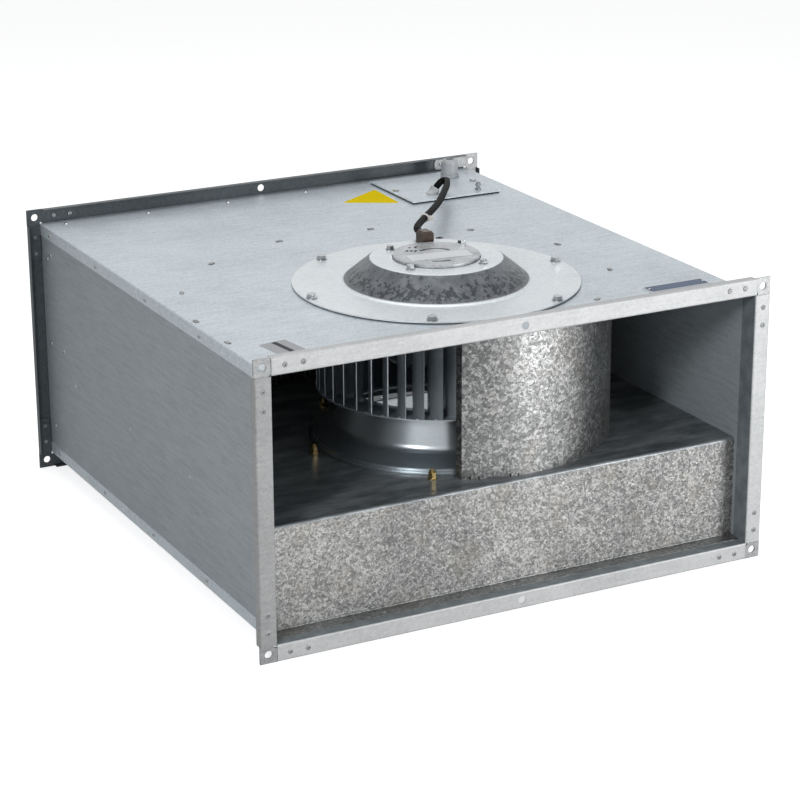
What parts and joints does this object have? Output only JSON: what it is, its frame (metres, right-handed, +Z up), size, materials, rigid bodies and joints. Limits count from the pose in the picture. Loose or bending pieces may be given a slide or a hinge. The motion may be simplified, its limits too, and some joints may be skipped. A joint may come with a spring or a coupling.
{
  "type": "centrifugal duct fan",
  "caption": "Rectangular sheet-metal duct fan with a forward-curved centrifugal wheel in a scroll, an external-rotor motor hung in a domed top plate, and flanges at both ends.",
  "frame": {"origin": "middle of the casing's length and width, at the bottom edges of the flanges", "axes": "+Y from the outlet flange to the inlet flange, +Z up to the motor side, +X to the right seen from the outlet"},
  "size_m": [0.64, 0.682, 0.367],
  "materials": {
    "bearing_steel": "ground",
    "casing_zinc": "hot-dip zinc coat, satin",
    "yellow_zinc": "yellow chromate zinc",
    "gland_plastic": "moulded, light grey",
    "wheel_zinc": "zinc coat, glossy",
    "screw_zinc": "bright zinc",
    "cone_zinc": "zinc coat, drawn smooth",
    "bracket_zinc": "zinc coat, stamped",
    "rivet_steel": "plain",
    "flange_zinc": "hot-dip zinc coat, satin",
    "grommet_rubber": "grey",
    "tie_nylon": "natural nylon",
    "motor_cast": "die cast, satin",
    "motor_gland_brown": "moulded, dark brown",
    "lead_rubber": "black sheath",
    "dome_zinc": "hot-dip zinc coat, stretched spangle",
    "gasket_rubber": "matte",
    "shaft_steel": "ground",
    "partition_zinc": "hot-dip zinc coat, glossy",
    "rotor_steel": "plain",
    "rotor_cast": "dark coat",
    "scroll_zinc": "hot-dip zinc coat with strong spangle",
    "stator_core": "varnished core and windings",
    "block_plastic": "moulded"
  },
  "bodies": {
    "casing": {"bearing_lower": "bearing_steel", "bearing_upper": "bearing_steel", "bottom_panel": "casing_zinc", "cone_bolts": "yellow_zinc", "cone_nuts": "yellow_zinc", "earth_stud": "yellow_zinc", "gland_body": "gland_plastic", "gland_cap": "gland_plastic", "inlet_cone": "cone_zinc", "inlet_corner_bottom_left": "bracket_zinc", "inlet_corner_bottom_right": "bracket_zinc", "inlet_corner_rivets": "rivet_steel", "inlet_corner_top_left": "bracket_zinc", "inlet_corner_top_right": "bracket_zinc", "inlet_rail_bottom": "flange_zinc", "inlet_rail_left": "flange_zinc", "inlet_rail_right": "flange_zinc", "inlet_rail_top": "flange_zinc", "lead_grommet": "grommet_rubber", "lead_tie": "tie_nylon", "left_panel": "casing_zinc", "leg_rivets": "rivet_steel", "motor_flange": "motor_cast", "motor_flange_screws": "screw_zinc", "motor_gland": "motor_gland_brown", "motor_lead": "lead_rubber", "motor_plate": "dome_zinc", "motor_plate_gasket": "gasket_rubber", "motor_plate_nuts": "screw_zinc", "motor_plate_screws": "screw_zinc", "outlet_corner_bottom_left": "bracket_zinc", "outlet_corner_bottom_right": "bracket_zinc", "outlet_corner_rivets": "rivet_steel", "outlet_corner_top_left": "bracket_zinc", "outlet_corner_top_right": "bracket_zinc", "outlet_rail_bottom": "flange_zinc", "outlet_rail_left": "flange_zinc", "outlet_rail_right": "flange_zinc", "outlet_rail_top": "flange_zinc", "partition_plate": "partition_zinc", "right_panel": "casing_zinc", "scroll_wrapper": "scroll_zinc", "seam_rivets": "rivet_steel", "stator": "stator_core", "terminal_block": "block_plastic", "terminal_cover": "casing_zinc", "terminal_gasket": "gasket_rubber", "terminal_screws": "screw_zinc", "terminal_tray": "casing_zinc", "top_panel": "casing_zinc"},
    "impeller": {"rotor_shell": "rotor_cast", "rotor_ring": "rotor_steel", "motor_shaft": "shaft_steel", "impeller_blades": "wheel_zinc", "impeller_ring": "wheel_zinc", "impeller_back_plate": "wheel_zinc", "impeller_screws": "screw_zinc"}
  },
  "joints": [
    {"name": "impeller_spin", "type": "hinge", "parent": "casing", "child": "impeller", "pos_m": [0.008, -0.124, 0.25], "axis": [0, 0, 1], "continuous": true}
  ]
}
